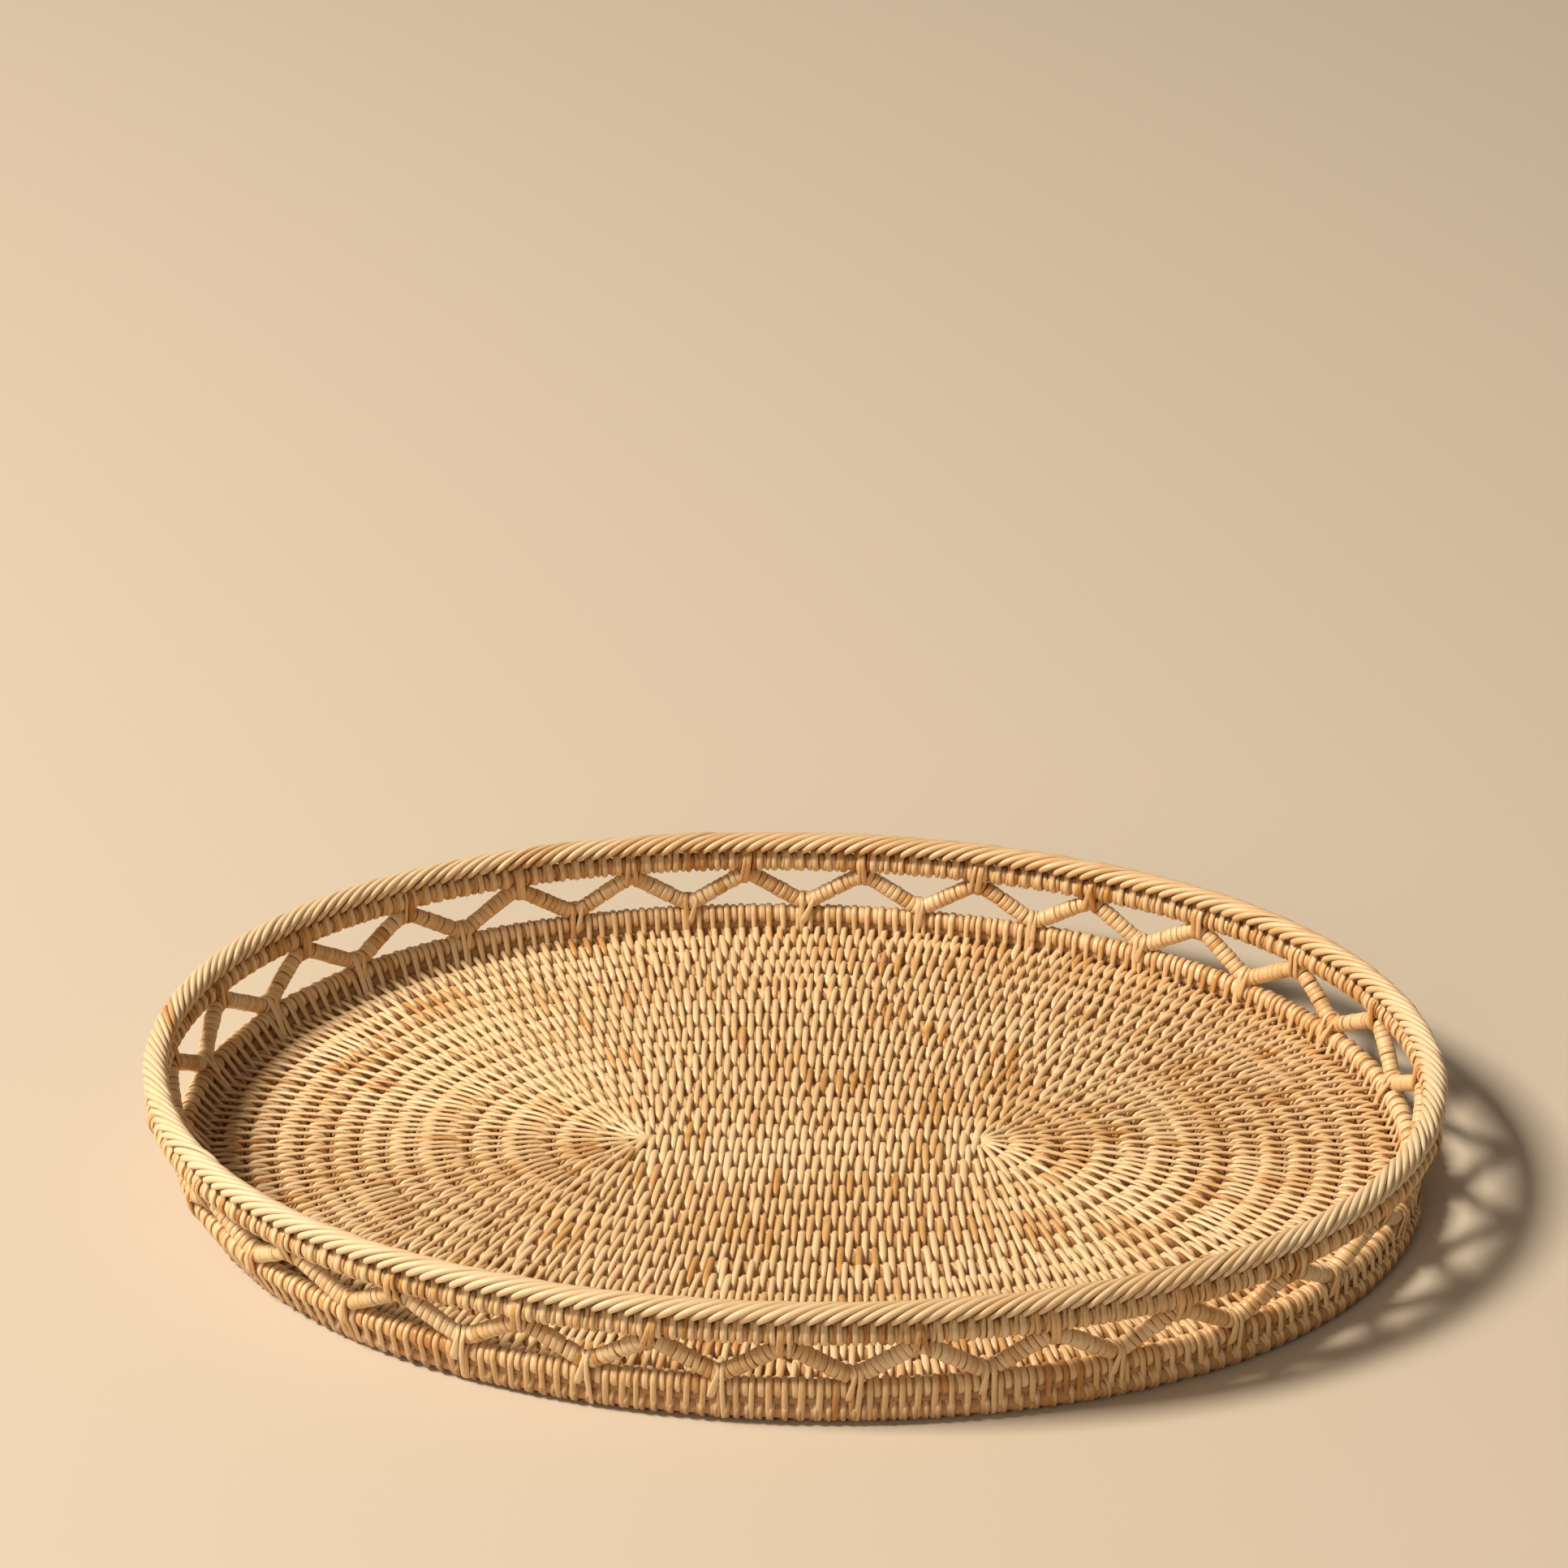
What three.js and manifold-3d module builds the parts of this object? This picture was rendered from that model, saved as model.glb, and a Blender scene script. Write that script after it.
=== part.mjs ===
// Oval coiled cane winnowing basket: flat coiled floor, raised edge coil, open zigzag wall, lashed rim.
// Units are millimetres, +Z is up, the floor rests on z = 0 and +X is the long way of the oval.
import * as THREE from 'three';
import { mergeVertices } from 'three/addons/utils/BufferGeometryUtils.js';
import Module from 'manifold-3d';

// ---- plan of the basket -------------------------------------------------------------------------
const RIM_HALF_LENGTH = 220.9; // centre of the rim, along X
const RIM_HALF_WIDTH = 157.0; // centre of the rim, along Y
const OVAL_SOFTNESS = 1.37; // 0 would be a stadium outline, larger is closer to an ellipse
const FLOOR_CENTRE = [6.5, -0.3]; // the floor's coil was started a little to the right of the middle
const FOCUS_OFFSET = 57.3; // half the length of the straight run the coil starts with

// ---- floor coil ---------------------------------------------------------------------------------
const ROW_PITCH = 9.7;
const FLOOR_TURNS = 16;
const FLOOR_HEIGHT = 8.2;
const FLOOR_FLAT_SHARE = 0.55; // how much of the cane's half width is flat on top and underneath
const ROW_GAP = 0.35;
const CURL_HALF_WIDTH = 4.0; // inner half width in the first tight curl, which leaves a small eye
const CANE_ENDS_AT_TURN = [0, 6.5, 9.5, 12, 14, FLOOR_TURNS]; // where one length of cane meets the next
const SPLICE_GAP = 0.4;
const TAIL_STEPS = 8; // steps past the last turn over which the cane's end is thinned
const TAIL_TURNS = 0.25; // the part of a turn in which the room beside the edge runs out
const TAIL_NARROWING = [0.35, 0.6]; // how that room shrinks, as shares of the row pitch: steady, quickening
const COARSE_STEPS = 12; // steps in each of the tight inner turns
const FINE_STEPS = 36; // steps in each outer turn, a multiple of the coarse ones
const COARSE_TURNS = 2;

// ---- rings of the wall --------------------------------------------------------------------------
const EDGE_CENTRE = [1.0, -0.3];
const EDGE_HALF_LENGTH = 213.7; // the edge coil overhangs the floor's last row on the left
const EDGE_HALF_WIDTH = 155.7;
const EDGE_RADIUS = 3.4;
const EDGE_Z = 12.7;
const HOOP_RADIUS = 3.3;
const HOOP_Z = 34.0;
const RING_SIDES = 8;
const HEAD_ROUNDS = 8; // rounds of the search for the head of the wall straight across from its foot

// ---- zigzag cane --------------------------------------------------------------------------------
const PERIODS = 27;
const VALLEY_ANCHOR_X = 28; // one valley on the front side stands at this X
const ZIGZAG_RADIUS = 3.0;
const ZIGZAG_SIDES = 6;
const ZIGZAG_LENGTHS = 4;
const TOUCH_GAP = 0.3;
const SHOULDER_SHARE = 0.07; // where a bend ends, as a share of the period
const SHOULDER_RISE = 0.105; // how far it has risen there, as a share of the height of the zigzag

// ---- ties and lashing ---------------------------------------------------------------------------
const TIE_WIDTH = 3.0;
const TIE_THICKNESS = 0.6;
const TIE_SLACK = 0.9; // room round the bent cane, which leaves the tie at a slope
const RING_SLACK = 0.42; // room round a ring inside its tie
const TIE_SIDES = 12;
const RIM_Z = 41.3;
const LASHING_HALF = { width: 4.3, height: 3.8, chamfer: 1.7 };
const LASHING_THICKNESS = 0.8;
const LASHING_CAVITY_CHAMFER = 1.3;
const LASHING_LENGTHS = 4;
const RIM_CANE_HALF = { width: 1.55, height: 2.6, chamfer: 0.9 };
const RIM_CANE_OFFSET = 1.7;

// ---- materials ----------------------------------------------------------------------------------
const STRIP = { color: 0xe3c48f, roughness: 0.5, metalness: 0 };
const STRIP_HONEY = { color: 0xc8964f, roughness: 0.48, metalness: 0 };
const CANE = { color: 0xd2a875, roughness: 0.6, metalness: 0 };

const UP = new THREE.Vector3(0, 0, 1);
const wasm = await Module();
wasm.setup();

// ---- curves -------------------------------------------------------------------------------------

/** The share of the focus offset that an oval's centre has moved to, at the given cosine. */
function focusShare(cosine, softness) {
  return (cosine * Math.hypot(1, softness)) / Math.hypot(cosine, softness);
}

/** A point of an oval {x, y, halfLength, halfWidth, z} at an angle. */
function ovalPoint(oval, angle) {
  const share = focusShare(Math.cos(angle), OVAL_SOFTNESS);
  const x = (oval.halfLength - oval.halfWidth) * share + oval.halfWidth * Math.cos(angle);
  return new THREE.Vector3(oval.x + x, oval.y + oval.halfWidth * Math.sin(angle), oval.z);
}

/** The centre of the floor coil at a number of turns, counted from the start of its straight run. */
function floorPoint(turns) {
  const angle = 2 * Math.PI * (turns - 0.25);
  const softness = Math.max(OVAL_SOFTNESS * (turns / FLOOR_TURNS), 1e-4);
  const share = focusShare(Math.cos(angle), softness);
  const onTop = Math.sin(angle) > 0;
  const whole = Math.floor(turns - 0.25 + (onTop ? 0 : 0.5) + 1e-9);
  const radius = ROW_PITCH * (whole + (onTop ? 0.75 - share / 4 : (1 + share) / 4));
  const x = FOCUS_OFFSET * share + radius * Math.cos(angle);
  const y = (ROW_PITCH * (1 + share)) / 4 + radius * Math.sin(angle);
  return new THREE.Vector3(FLOOR_CENTRE[0] + x, FLOOR_CENTRE[1] + y, 0);
}

const rimOval = { x: 0, y: 0, halfLength: RIM_HALF_LENGTH, halfWidth: RIM_HALF_WIDTH, z: RIM_Z };
const hoopOval = { ...rimOval, z: HOOP_Z };
const edgeOval = {
  x: EDGE_CENTRE[0],
  y: EDGE_CENTRE[1],
  halfLength: EDGE_HALF_LENGTH,
  halfWidth: EDGE_HALF_WIDTH,
  z: EDGE_Z,
};

/** Angles at which equal lengths of the wall have passed, starting from a valley on the front side. */
function evenAngles(count) {
  const fine = 3600;
  const lengths = [0];
  const middle = (i) => {
    const angle = (2 * Math.PI * i) / fine - Math.PI / 2;
    return ovalPoint(edgeOval, angle).add(ovalPoint(hoopOval, angle)).multiplyScalar(0.5);
  };
  let anchor = 0;
  for (let i = 1; i <= fine; i += 1) {
    lengths.push(lengths[i - 1] + middle(i).distanceTo(middle(i - 1)));
    if (i < fine / 4 && middle(i).x < VALLEY_ANCHOR_X) {
      anchor = lengths[i];
    }
  }
  const total = lengths[fine];
  const angles = [];
  for (let step = 0; step < count; step += 1) {
    const wanted = (anchor + (total * step) / count) % total;
    const after = lengths.findIndex((length) => length > wanted);
    const part = (wanted - lengths[after - 1]) / (lengths[after] - lengths[after - 1]);
    angles.push((2 * Math.PI * (after - 1 + part)) / fine - Math.PI / 2);
  }
  return angles;
}

const wallAngles = evenAngles(PERIODS * 100);

/** The direction an oval runs in at an angle. */
function ovalDirection(oval, angle) {
  return ovalPoint(oval, angle + 0.001).sub(ovalPoint(oval, angle - 0.001)).normalize();
}

/** The wall's place after a number of periods: its foot, its head straight across, and directions. */
function wallAt(periods) {
  const angle = wallAngles[Math.round(periods * 100) % wallAngles.length];
  const foot = ovalPoint(edgeOval, angle);
  const along = ovalDirection(edgeOval, angle);
  let head = ovalPoint(hoopOval, angle);
  let headAngle = angle;
  for (let round = 0; round < HEAD_ROUNDS; round += 1) {
    headAngle -= head.clone().sub(foot).dot(along) / Math.hypot(head.x, head.y);
    head = ovalPoint(hoopOval, headAngle);
  }
  const rise = head.clone().sub(foot).normalize();
  const out = along.clone().cross(rise).normalize();
  return { foot, head, along, rise, out, height: head.distanceTo(foot) };
}

// ---- solids -------------------------------------------------------------------------------------

/** The whole numbers that share a total out into a number of nearly equal runs, from 0 to the total. */
function shareOut(total, runs) {
  return Array.from({ length: runs + 1 }, (_, i) => Math.round((total * i) / runs));
}

/** Six times the signed volume inside a position-only triangle list: positive if it faces outwards. */
function facing(positions) {
  let sum = 0;
  for (let i = 0; i < positions.length; i += 9) {
    const [a, b, c] = [0, 3, 6].map((k) => new THREE.Vector3(...positions.slice(i + k, i + k + 3)));
    sum += a.dot(b.cross(c));
  }
  return sum;
}

/** A geometry from triangles, each three points, turned so that it faces outwards. */
function fromTriangles(triangles) {
  let positions = triangles.flatMap((t) => t.flatMap((p) => [p.x, p.y, p.z]));
  if (facing(positions) < 0) {
    positions = triangles.flatMap(([a, b, c]) => [a, c, b].flatMap((p) => [p.x, p.y, p.z]));
  }
  const geometry = new THREE.BufferGeometry();
  geometry.setAttribute('position', new THREE.Float32BufferAttribute(positions, 3));
  return geometry;
}

/** The triangles of a band between two loops or lines of points of equal length. */
function band(from, to, closed) {
  const triangles = [];
  const last = closed ? from.length : from.length - 1;
  for (let i = 0; i < last; i += 1) {
    const j = (i + 1) % from.length;
    triangles.push([from[i], from[j], to[j]], [from[i], to[j], to[i]]);
  }
  return triangles;
}

/** A solid through a row of convex outlines, with flat ends, or running round if it is closed. */
function loft(outlines, closed) {
  const triangles = [];
  const last = closed ? outlines.length : outlines.length - 1;
  for (let i = 0; i < last; i += 1) {
    triangles.push(...band(outlines[i], outlines[(i + 1) % outlines.length], true));
  }
  if (!closed) {
    const [first, end] = [outlines[0], outlines[outlines.length - 1]];
    for (let i = 1; i < first.length - 1; i += 1) {
      triangles.push([first[0], first[i + 1], first[i]], [end[0], end[i], end[i + 1]]);
    }
  }
  return fromTriangles(triangles);
}

/** A tube with a cavity, through rows of outer and inner outlines, open at both ends. */
function sleeve(outer, inner) {
  const last = outer.length - 1;
  const triangles = [];
  for (let i = 0; i < last; i += 1) {
    triangles.push(...band(outer[i], outer[i + 1], true), ...band(inner[i + 1], inner[i], true));
  }
  triangles.push(...band(inner[0], outer[0], true), ...band(outer[last], inner[last], true));
  return fromTriangles(triangles);
}

/** Points round a regular outline with the given reach along two directions. */
function roundOutline(centre, across, up, radius, sides) {
  return Array.from({ length: sides }, (_, i) => {
    const angle = (2 * Math.PI * (i + 0.5)) / sides;
    return centre
      .clone()
      .addScaledVector(across, radius * Math.cos(angle))
      .addScaledVector(up, radius * Math.sin(angle));
  });
}

/** Points round a rectangle with cut corners. */
function chamferedOutline(centre, across, up, half) {
  const [w, h, c] = [half.width, half.height, half.chamfer];
  const corners = [
    [w, -h + c],
    [w, h - c],
    [w - c, h],
    [c - w, h],
    [-w, h - c],
    [-w, c - h],
    [c - w, -h],
    [w - c, -h],
  ];
  return corners.map(([a, b]) => centre.clone().addScaledVector(across, a).addScaledVector(up, b));
}

/** The outline round two circles on a line, as points, the second circle lying along the direction. */
function capsuleOutline(place, low, high, grow) {
  const half = TIE_SIDES / 2;
  return Array.from({ length: TIE_SIDES }, (_, i) => {
    const atLow = i < half;
    const circle = atLow ? low : high;
    const angle = Math.PI * ((i % half) / (half - 1)) + (atLow ? Math.PI : 0);
    return circle.centre
      .clone()
      .addScaledVector(place.out, (circle.radius + grow) * Math.cos(angle))
      .addScaledVector(place.rise, (circle.radius + grow) * Math.sin(angle));
  });
}

/** A closed strap round two canes, standing across the wall. */
function tieGeometry(place, low, high) {
  const side = (grow, shift) =>
    capsuleOutline(place, low, high, grow).map((p) => p.addScaledVector(place.along, shift));
  const [innerA, innerB] = [side(0, -TIE_WIDTH / 2), side(0, TIE_WIDTH / 2)];
  const [outerA, outerB] = [side(TIE_THICKNESS, -TIE_WIDTH / 2), side(TIE_THICKNESS, TIE_WIDTH / 2)];
  return fromTriangles([
    ...band(outerA, outerB, true),
    ...band(outerB, innerB, true),
    ...band(innerB, innerA, true),
    ...band(innerA, outerA, true),
  ]);
}

/** Several closed geometries joined into one body. */
function joined(geometries) {
  const solids = geometries.map((geometry) => {
    const merged = mergeVertices(geometry);
    return new wasm.Manifold(
      new wasm.Mesh({
        numProp: 3,
        vertProperties: merged.attributes.position.array,
        triVerts: Uint32Array.from(merged.index.array),
      }),
    );
  });
  const mesh = wasm.Manifold.union(solids).getMesh();
  const geometry = new THREE.BufferGeometry();
  geometry.setAttribute('position', new THREE.Float32BufferAttribute(mesh.vertProperties, mesh.numProp));
  geometry.setIndex(new THREE.Uint32BufferAttribute(mesh.triVerts, 1));
  return geometry;
}

// ---- the parts ----------------------------------------------------------------------------------

const group = new THREE.Group();
group.name = 'winnowing_basket';

function addPart(name, geometry, look) {
  const mesh = new THREE.Mesh(geometry, new THREE.MeshStandardMaterial(look));
  mesh.name = name;
  group.add(mesh);
}

const twoDigits = (number) => String(number).padStart(2, '0');

/** The turns at which one length of floor cane has its outlines. */
function floorStations(from, to) {
  const stations = [];
  const coarseEnd = Math.min(to, COARSE_TURNS);
  for (let step = Math.round(from * COARSE_STEPS); step < coarseEnd * COARSE_STEPS; step += 1) {
    stations.push(step / COARSE_STEPS);
  }
  const fineStart = Math.max(from, COARSE_TURNS);
  for (let step = Math.round(fineStart * FINE_STEPS); step <= Math.round(to * FINE_STEPS); step += 1) {
    stations.push(step / FINE_STEPS);
  }
  return stations;
}

/** The straight run starts at the left focus: the coil's first outline stands there. */
function floorCentre(turns) {
  if (turns === 0) {
    return new THREE.Vector3(FLOOR_CENTRE[0] - FOCUS_OFFSET, FLOOR_CENTRE[1], 0);
  }
  return floorPoint(turns);
}

/** The floor cane's end past the last turn, thinned to the room between the row inside and the edge. */
function tailOutline(turns) {
  const past = (turns - FLOOR_TURNS) / TAIL_TURNS;
  const room = ROW_PITCH * (1 - TAIL_NARROWING[0] * past - TAIL_NARROWING[1] * past ** 2);
  const row = floorPoint(turns - 1);
  const ahead = floorPoint(turns - 1 + 1e-3);
  const out = ahead.sub(floorPoint(turns - 1 - 1e-3)).setZ(0).normalize().cross(UP);
  const centre = row.addScaledVector(out, (room + ROW_PITCH) / 2);
  const half = (room - ROW_GAP) / 2;
  const place = (reach, z) => centre.clone().addScaledVector(out, reach * half).setZ(z);
  return floorSection(place);
}

/** The corners of the floor cane's section, from a function that places one of them. */
function floorSection(place) {
  return [
    place(-FLOOR_FLAT_SHARE, 0),
    place(FLOOR_FLAT_SHARE, 0),
    place(1, FLOOR_HEIGHT / 2),
    place(FLOOR_FLAT_SHARE, FLOOR_HEIGHT),
    place(-FLOOR_FLAT_SHARE, FLOOR_HEIGHT),
    place(-1, FLOOR_HEIGHT / 2),
  ];
}

/** The floor cane's outline at a station, as wide as the rows beside it leave room for. */
function floorOutline(turns) {
  if (turns > FLOOR_TURNS) {
    return tailOutline(turns);
  }
  const centre = floorCentre(turns);
  const ahead = floorPoint(turns + 1e-3);
  const behind = turns > 0 ? floorPoint(turns - 1e-3) : centre;
  const out = ahead.sub(behind).setZ(0).normalize().cross(UP);
  const rowOut = floorPoint(turns + 1).sub(centre);
  const toOuter = turns >= 1e-6 ? rowOut : new THREE.Vector3(0, -ROW_PITCH, 0);
  const toInner = turns > 1 ? centre.clone().sub(floorPoint(turns - 1)) : null;
  const inCurl = turns > 0 && turns < 0.5;
  const outerDirection = toOuter.clone().normalize();
  const innerDirection = toInner ? toInner.clone().normalize() : out;
  const outer = (toOuter.length() - ROW_GAP) / 2;
  const inner = toInner ? (toInner.length() - ROW_GAP) / 2 : (ROW_PITCH - ROW_GAP) / 2;
  const innerReach = inCurl ? CURL_HALF_WIDTH : inner;
  const place = (reach, z) => {
    const direction = reach > 0 ? outerDirection : innerDirection;
    const scale = reach > 0 ? reach * outer : reach * innerReach;
    return centre.clone().addScaledVector(direction, scale).setZ(z);
  };
  return floorSection(place);
}

/** An outline moved towards its neighbour by a distance, to leave a gap at a splice. */
function trimmed(outline, neighbour, distance) {
  return outline.map((point, i) => {
    const toNeighbour = neighbour[i].clone().sub(point);
    return point.clone().addScaledVector(toNeighbour.normalize(), distance);
  });
}

function addFloor() {
  for (let i = 1; i < CANE_ENDS_AT_TURN.length; i += 1) {
    const isLast = i === CANE_ENDS_AT_TURN.length - 1;
    const end = CANE_ENDS_AT_TURN[i] + (isLast ? TAIL_STEPS / FINE_STEPS : 0);
    const outlines = floorStations(CANE_ENDS_AT_TURN[i - 1], end).map(floorOutline);
    const last = outlines.length - 1;
    outlines[0] = trimmed(outlines[0], outlines[1], SPLICE_GAP / 2);
    outlines[last] = trimmed(outlines[last], outlines[last - 1], SPLICE_GAP / 2);
    addPart(`floor_coil_${i}`, loft(outlines, false), STRIP);
  }
}

const halfPeriods = Array.from({ length: 2 * PERIODS }, (_, i) => i / 2);

/** Outlines of a ring of the wall at each valley and peak. */
function ringOutlines(stations, makeOutline) {
  return stations.map((periods) => {
    const place = wallAt(periods);
    const level = place.along.clone().cross(UP).normalize();
    return makeOutline(place, level);
  });
}

function addRings() {
  const edge = ringOutlines(halfPeriods, ({ foot }, level) =>
    roundOutline(foot, level, UP, EDGE_RADIUS, RING_SIDES),
  );
  addPart('edge_coil', loft(edge, true), STRIP_HONEY);
  const hoop = ringOutlines(halfPeriods, ({ head }, level) =>
    roundOutline(head, level, UP, HOOP_RADIUS, RING_SIDES),
  );
  addPart('top_hoop', loft(hoop, true), STRIP_HONEY);
}

const rimCentre = (place) => place.head.clone().setZ(RIM_Z);

function addRimCanes() {
  for (const [name, side] of [['rim_cane_outer', 1], ['rim_cane_inner', -1]]) {
    const outlines = ringOutlines(halfPeriods, (place, level) => {
      const centre = rimCentre(place).addScaledVector(level, side * RIM_CANE_OFFSET);
      return chamferedOutline(centre, level, UP, RIM_CANE_HALF);
    });
    addPart(name, loft(outlines, true), CANE);
  }
}

/** How far up the wall from its foot the zigzag runs, at a number of periods. */
function zigzagRise(place, share) {
  const low = EDGE_RADIUS + TOUCH_GAP + ZIGZAG_RADIUS;
  const high = place.height - HOOP_RADIUS - TOUCH_GAP - ZIGZAG_RADIUS;
  return THREE.MathUtils.lerp(low, high, share);
}

const zigzagShape = [
  [0, 0],
  [SHOULDER_SHARE, SHOULDER_RISE],
  [0.5 - SHOULDER_SHARE, 1 - SHOULDER_RISE],
  [0.5, 1],
  [0.5 + SHOULDER_SHARE, 1 - SHOULDER_RISE],
  [1 - SHOULDER_SHARE, SHOULDER_RISE],
];

function zigzagPoint(periods, share) {
  const place = wallAt(periods);
  return { place, point: place.foot.clone().addScaledVector(place.rise, zigzagRise(place, share)) };
}

function addZigzag() {
  const ends = shareOut(PERIODS, ZIGZAG_LENGTHS);
  for (let i = 0; i < ZIGZAG_LENGTHS; i += 1) {
    const stops = [];
    for (let period = ends[i]; period < ends[i + 1]; period += 1) {
      stops.push(...zigzagShape.map(([share, rise]) => zigzagPoint(period + share, rise)));
    }
    stops.push(zigzagPoint(ends[i + 1], 0));
    const outlines = stops.map(({ place, point }, k) => {
      const before = stops[Math.max(k - 1, 0)].point;
      const after = stops[Math.min(k + 1, stops.length - 1)].point;
      const isEnd = k === 0 || k === stops.length - 1;
      const tangent = isEnd ? place.along.clone() : after.clone().sub(before).normalize();
      const up = place.out.clone().cross(tangent).normalize();
      return roundOutline(point, place.out, up, ZIGZAG_RADIUS, ZIGZAG_SIDES);
    });
    const last = outlines.length - 1;
    outlines[0] = trimmed(outlines[0], outlines[1], SPLICE_GAP / 2);
    outlines[last] = trimmed(outlines[last], outlines[last - 1], SPLICE_GAP / 2);
    addPart(`zigzag_cane_${i + 1}`, loft(outlines, false), STRIP);
  }
}

function addBottomTies() {
  for (let period = 0; period < PERIODS; period += 1) {
    const { place, point } = zigzagPoint(period, 0);
    const low = { centre: place.foot, radius: EDGE_RADIUS + RING_SLACK };
    const high = { centre: point, radius: ZIGZAG_RADIUS + TIE_SLACK };
    addPart(`bottom_tie_${twoDigits(period + 1)}`, tieGeometry(place, low, high), STRIP_HONEY);
  }
}

function topTie(period) {
  const { place, point } = zigzagPoint(period + 0.5, 1);
  const low = { centre: point, radius: ZIGZAG_RADIUS + TIE_SLACK };
  const high = { centre: place.head, radius: HOOP_RADIUS + RING_SLACK };
  return tieGeometry(place, low, high);
}

function addRimLashing() {
  const cavity = {
    width: LASHING_HALF.width - LASHING_THICKNESS,
    height: LASHING_HALF.height - LASHING_THICKNESS,
    chamfer: LASHING_CAVITY_CHAMFER,
  };
  const ends = shareOut(PERIODS, LASHING_LENGTHS);
  for (let i = 0; i < LASHING_LENGTHS; i += 1) {
    const stations = halfPeriods.filter((periods) => periods >= ends[i] && periods < ends[i + 1]);
    stations.push(ends[i + 1]);
    const [outer, inner] = [LASHING_HALF, cavity].map((half) => {
      const outlines = ringOutlines(stations, (place, level) =>
        chamferedOutline(rimCentre(place), level, UP, half),
      );
      const last = outlines.length - 1;
      outlines[0] = trimmed(outlines[0], outlines[1], SPLICE_GAP / 2);
      outlines[last] = trimmed(outlines[last], outlines[last - 1], SPLICE_GAP / 2);
      return outlines;
    });
    const ties = [];
    for (let period = ends[i]; period < ends[i + 1]; period += 1) {
      ties.push(topTie(period));
    }
    addPart(`rim_lashing_${i + 1}`, joined([sleeve(outer, inner), ...ties]), STRIP);
  }
}

addFloor();
addRings();
addZigzag();
addBottomTies();
addRimCanes();
addRimLashing();

export default group;
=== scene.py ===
"""Looks of the oval winnowing basket: every strip of split cane is its own band of geometry."""
import math

import bpy
import numpy as np
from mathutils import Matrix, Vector


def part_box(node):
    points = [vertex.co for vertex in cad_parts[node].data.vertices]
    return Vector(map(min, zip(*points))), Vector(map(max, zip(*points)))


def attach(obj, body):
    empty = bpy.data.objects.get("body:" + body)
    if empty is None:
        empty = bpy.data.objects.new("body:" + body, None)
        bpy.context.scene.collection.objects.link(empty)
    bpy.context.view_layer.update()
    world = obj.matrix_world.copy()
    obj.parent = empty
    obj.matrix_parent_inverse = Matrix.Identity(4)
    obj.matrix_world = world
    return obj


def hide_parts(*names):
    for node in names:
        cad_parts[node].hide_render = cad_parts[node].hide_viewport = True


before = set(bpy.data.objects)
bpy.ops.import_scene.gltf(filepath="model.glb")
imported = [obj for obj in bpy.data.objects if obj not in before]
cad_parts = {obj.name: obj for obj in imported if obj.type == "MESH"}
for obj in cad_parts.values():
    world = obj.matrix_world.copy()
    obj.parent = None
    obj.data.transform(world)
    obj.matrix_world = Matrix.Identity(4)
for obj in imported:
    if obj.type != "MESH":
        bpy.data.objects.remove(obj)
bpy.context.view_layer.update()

MM = 0.001
TAU = 2 * math.pi
RNG = np.random.default_rng(7)
UP = np.array([0.0, 0.0, 1.0])
LEVEL = np.array([1.0, 1.0, 0.0])

# ---- sizes of the basket, in millimetres --------------------------------------------------------
# the floor's spiral; the ends of its lengths of cane and its first stitch are in turns
ROW_PITCH = 9.7
FLOOR_TURNS = 16
TAIL_TURNS = 0.22
TAIL_NARROWING = (0.35, 0.6)
LAST_ROW = FLOOR_TURNS + TAIL_TURNS - 1
CANE_ENDS = (0, 6.5, 9.5, 12, 14, FLOOR_TURNS + 1)
FIRST_STITCH = 0.46
FLOOR_X, FLOOR_Y = 6.5, -0.3
FOCUS_OFFSET = 57.3
SOFTNESS = 1.37
LEAST_ROW_GAP = 7.9
MOST_ROW_GAP = ROW_PITCH * 1.05
MARKS_PER_TURN = 1440

# the wall
PERIODS = 27
VALLEY_X = 28.0
WALL_STEPS = 40
ZIG_LOW, ZIG_HIGH = 5.0, 5.3
EDGE_DROP = 0.4
RIM_Z = 41.3
RIM_HALF = (3.25, 2.85)
LASH_PITCH = 5.3
LASH_RUN = 28.0
CANES_PER_RING = 4

# bare canes: radii, or half width and half height
CORE_HALF_WIDTH = 3.95
CORE_HALF_HEIGHT = 3.3
CORE_Z = 4.25
EDGE_CORE = 2.9
PACKING_HALF = (2.5, 2.3)
HOOP_CORE = 2.75
ROD_CORE = 2.4
FILLER_HALF = (1.6, 2.6)
FILLER_OFFSET = 1.5

# strips: spacing, or width and thickness
STITCH_PITCH = 5.05
STRIP_WIDTH = 2.35
END_STRIP_WIDTH = 1.6
STRIP_THICK = 0.95
CURL_START, CURL_PITCH = 1.5, 2.6
FLOOR_WRAP = (1.85, STRIP_THICK * 0.45)
EDGE_PITCH = 5.3
EDGE_STRAP = (2.3, 0.8)
EDGE_WRAP = (2.0, 0.5)
WRAP_PITCH = 2.3
ROD_WRAP = (2.26, 0.62)
HOOP_WRAP = (2.0, 0.5)
BOTTOM_TIE_THICK = 0.8
TOP_TIE_THICK = 0.75
LASH_STRIP = (2.6, 1.15)
HOOP_STRAP_THICK = 0.75

# sections of a strip of cane: across from -1 to 1, then height from 0 to 1
HALF_ROUND = np.array([(-1, 0.0), (-0.86, 0.52), (-0.38, 0.93), (0.38, 0.93), (0.86, 0.52), (1, 0.0)])
FLAT_STRIP = np.array([(-1, 0.0), (-0.95, 0.66), (-0.55, 0.95), (0.55, 0.95), (0.95, 0.66), (1, 0.0)])


# ---- curves -------------------------------------------------------------------------------------
def unit(v):
    return v / np.maximum(np.linalg.norm(v, axis=-1, keepdims=True), 1e-9)


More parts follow.
